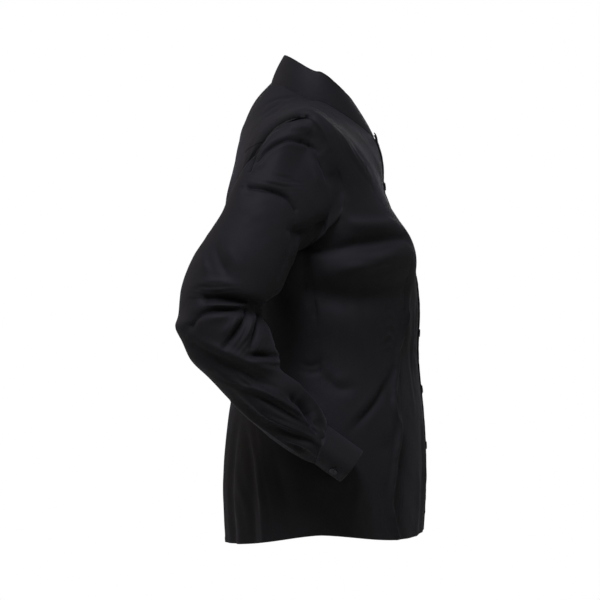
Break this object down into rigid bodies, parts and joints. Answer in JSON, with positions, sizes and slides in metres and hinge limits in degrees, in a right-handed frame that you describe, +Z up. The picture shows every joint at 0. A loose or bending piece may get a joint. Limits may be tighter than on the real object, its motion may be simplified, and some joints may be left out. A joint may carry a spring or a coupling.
{
  "type": "mandarin collar shirt",
  "caption": "Fitted black long-sleeved shirt with a stand-up band collar, princess seams, a buttoned front and one-button cuffs, filled out as worn with bent elbows.",
  "frame": {"origin": "where the wearer holds the shirt up, at the base of the neck between the shoulders", "axes": "-Y is the front, +X the wearer's left, +Z up"},
  "size_m": [0.588, 0.3235, 0.646],
  "materials": {
    "poplin": "fine plain-woven cotton with a soft sheen",
    "bands": "the same cotton, doubled and pressed flat",
    "buttons": "satin"
  },
  "bodies": {
    "root": {"back": "poplin", "side_front_right": "poplin", "side_front_left": "poplin", "centre_front_right": "poplin", "centre_front_left": "poplin", "sleeve_right": "poplin", "sleeve_left": "poplin", "button_band": "bands", "placket": "bands", "collar": "bands", "cuff_right": "bands", "cuff_left": "bands", "cuff_button_right": "buttons", "cuff_button_left": "buttons", "front_button_1": "buttons", "front_button_2": "buttons", "front_button_3": "buttons", "front_button_4": "buttons", "front_button_5": "buttons", "front_button_6": "buttons", "front_button_7": "buttons"}
  },
  "joints": []
}
